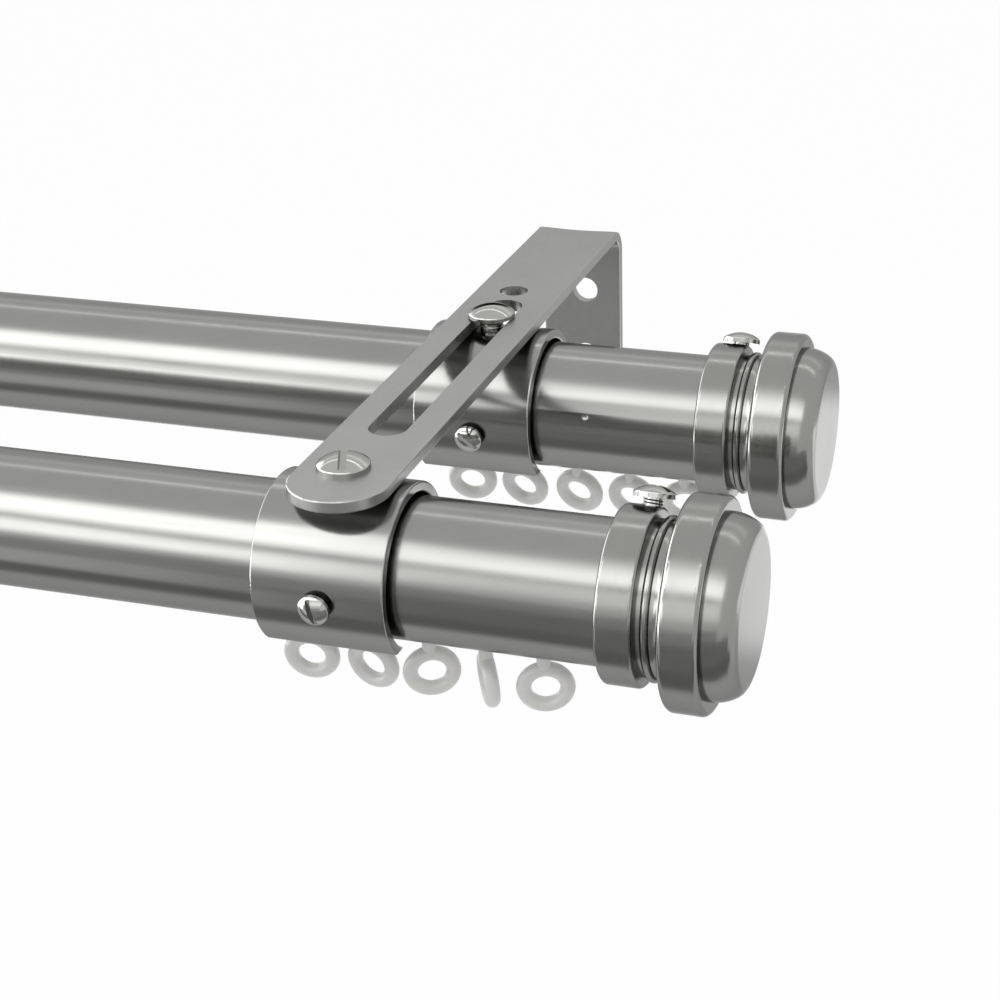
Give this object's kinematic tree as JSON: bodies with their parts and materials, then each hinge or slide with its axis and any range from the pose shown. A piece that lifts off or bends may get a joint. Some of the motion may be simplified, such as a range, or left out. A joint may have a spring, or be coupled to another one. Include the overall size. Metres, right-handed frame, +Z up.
{
  "type": "double curtain pole",
  "caption": "Double curtain pole: parallel tubes with ring gliders in tracks along their undersides, in ring collars under slotted, wall-fixed flat-bar brackets, with turned finials.",
  "frame": {"origin": "in the wall plane, at the middle of the four wall screw holes", "axes": "+X along the poles to the right as seen from the room, +Y into the wall, +Z up"},
  "size_m": [0.625, 0.1746, 0.053],
  "materials": {
    "satin_tube": "satin nickel plate",
    "satin_bar": "satin nickel plate over flat bar",
    "satin_collar": "satin nickel plate",
    "satin_finial": "satin nickel plate, turned",
    "bright_screw": "bright nickel plate",
    "white_nylon": "smooth white nylon"
  },
  "bodies": {
    "brackets": {"bracket_left": "satin_bar", "bracket_right": "satin_bar", "front_rod": "satin_tube", "front_collar_left": "satin_collar", "front_collar_right": "satin_collar", "front_clamp_screw_left": "bright_screw", "front_clamp_screw_right": "bright_screw", "front_set_screw_left": "bright_screw", "front_set_screw_right": "bright_screw", "front_finial_left": "satin_finial", "front_finial_right": "satin_finial", "front_finial_screw_left": "bright_screw", "front_finial_screw_right": "bright_screw"},
    "rear_pole": {"rear_rod": "satin_tube", "rear_collar_left": "satin_collar", "rear_collar_right": "satin_collar", "rear_clamp_screw_left": "bright_screw", "rear_clamp_screw_right": "bright_screw", "rear_set_screw_left": "bright_screw", "rear_set_screw_right": "bright_screw", "rear_finial_left": "satin_finial", "rear_finial_right": "satin_finial", "rear_finial_screw_left": "bright_screw", "rear_finial_screw_right": "bright_screw"},
    "front_glider_1": {"front_glider_1": "white_nylon"},
    "front_eye_1": {"front_eye_1": "white_nylon"},
    "front_glider_2": {"front_glider_2": "white_nylon"},
    "front_eye_2": {"front_eye_2": "white_nylon"},
    "front_glider_3": {"front_glider_3": "white_nylon"},
    "front_eye_3": {"front_eye_3": "white_nylon"},
    "front_glider_4": {"front_glider_4": "white_nylon"},
    "front_eye_4": {"front_eye_4": "white_nylon"},
    "front_glider_5": {"front_glider_5": "white_nylon"},
    "front_eye_5": {"front_eye_5": "white_nylon"},
    "rear_glider_1": {"rear_glider_1": "white_nylon"},
    "rear_eye_1": {"rear_eye_1": "white_nylon"},
    "rear_glider_2": {"rear_glider_2": "white_nylon"},
    "rear_eye_2": {"rear_eye_2": "white_nylon"},
    "rear_glider_3": {"rear_glider_3": "white_nylon"},
    "rear_eye_3": {"rear_eye_3": "white_nylon"},
    "rear_glider_4": {"rear_glider_4": "white_nylon"},
    "rear_eye_4": {"rear_eye_4": "white_nylon"},
    "rear_glider_5": {"rear_glider_5": "white_nylon"},
    "rear_eye_5": {"rear_eye_5": "white_nylon"}
  },
  "joints": [
    {"name": "rear_pole_slide", "type": "slide", "parent": "brackets", "child": "rear_pole", "axis": [0, 1, 0], "range_m": [-0.042, 0.008]},
    {"name": "front_glider_1_slide", "type": "slide", "parent": "brackets", "child": "front_glider_1", "axis": [1, 0, 0], "range_m": [-0.50427, 0.01379]},
    {"name": "front_eye_1_turn", "type": "hinge", "parent": "front_glider_1", "child": "front_eye_1", "pos_m": [0.26892, -0.154, 0.0057], "axis": [0, -0.1478, 0.989], "continuous": true},
    {"name": "front_glider_2_slide", "type": "slide", "parent": "front_glider_1", "child": "front_glider_2", "axis": [1, 0, 0], "range_m": [-0.50427, 0.00005]},
    {"name": "front_eye_2_turn", "type": "hinge", "parent": "front_glider_2", "child": "front_eye_2", "pos_m": [0.25716, -0.154, 0.0057], "axis": [0, -0.1478, 0.989], "continuous": true},
    {"name": "front_glider_3_slide", "type": "slide", "parent": "front_glider_2", "child": "front_glider_3", "axis": [1, 0, 0], "range_m": [-0.50427, 0.00005]},
    {"name": "front_eye_3_turn", "type": "hinge", "parent": "front_glider_3", "child": "front_eye_3", "pos_m": [0.24541, -0.154, 0.0057], "axis": [0, -0.1478, 0.989], "continuous": true},
    {"name": "front_glider_4_slide", "type": "slide", "parent": "front_glider_3", "child": "front_glider_4", "axis": [1, 0, 0], "range_m": [-0.50427, 0.0007]},
    {"name": "front_eye_4_turn", "type": "hinge", "parent": "front_glider_4", "child": "front_eye_4", "pos_m": [0.23301, -0.154, 0.0057], "axis": [0, -0.1478, 0.989], "continuous": true},
    {"name": "front_glider_5_slide", "type": "slide", "parent": "front_glider_4", "child": "front_glider_5", "axis": [1, 0, 0], "range_m": [-0.50427, 0.00155]},
    {"name": "front_eye_5_turn", "type": "hinge", "parent": "front_glider_5", "child": "front_eye_5", "pos_m": [0.21976, -0.154, 0.0057], "axis": [0, -0.1478, 0.989], "continuous": true},
    {"name": "rear_glider_1_slide", "type": "slide", "parent": "rear_pole", "child": "rear_glider_1", "axis": [1, 0, 0], "range_m": [-0.51052, 0.00528]},
    {"name": "rear_eye_1_turn", "type": "hinge", "parent": "rear_glider_1", "child": "rear_eye_1", "pos_m": [0.27492, -0.0695, 0.0057], "axis": [0, -0.2588, 0.9659], "continuous": true},
    {"name": "rear_glider_2_slide", "type": "slide", "parent": "rear_glider_1", "child": "rear_glider_2", "axis": [1, 0, 0], "range_m": [-0.51052, 0.00085]},
    {"name": "rear_eye_2_turn", "type": "hinge", "parent": "rear_glider_2", "child": "rear_eye_2", "pos_m": [0.26237, -0.0695, 0.0057], "axis": [0, -0.2588, 0.9659], "continuous": true},
    {"name": "rear_glider_3_slide", "type": "slide", "parent": "rear_glider_2", "child": "rear_glider_3", "axis": [1, 0, 0], "range_m": [-0.51052, 0.00095]},
    {"name": "rear_eye_3_turn", "type": "hinge", "parent": "rear_glider_3", "child": "rear_eye_3", "pos_m": [0.24971, -0.0695, 0.0057], "axis": [0, -0.2588, 0.9659], "continuous": true},
    {"name": "rear_glider_4_slide", "type": "slide", "parent": "rear_glider_3", "child": "rear_glider_4", "axis": [1, 0, 0], "range_m": [-0.51052, 0.00155]},
    {"name": "rear_eye_4_turn", "type": "hinge", "parent": "rear_glider_4", "child": "rear_eye_4", "pos_m": [0.23647, -0.0695, 0.0057], "axis": [0, -0.2588, 0.9659], "continuous": true},
    {"name": "rear_glider_5_slide", "type": "slide", "parent": "rear_glider_4", "child": "rear_glider_5", "axis": [1, 0, 0], "range_m": [-0.51052, 0.00125]},
    {"name": "rear_eye_5_turn", "type": "hinge", "parent": "rear_glider_5", "child": "rear_eye_5", "pos_m": [0.22351, -0.0695, 0.0057], "axis": [0, -0.2588, 0.9659], "continuous": true}
  ]
}
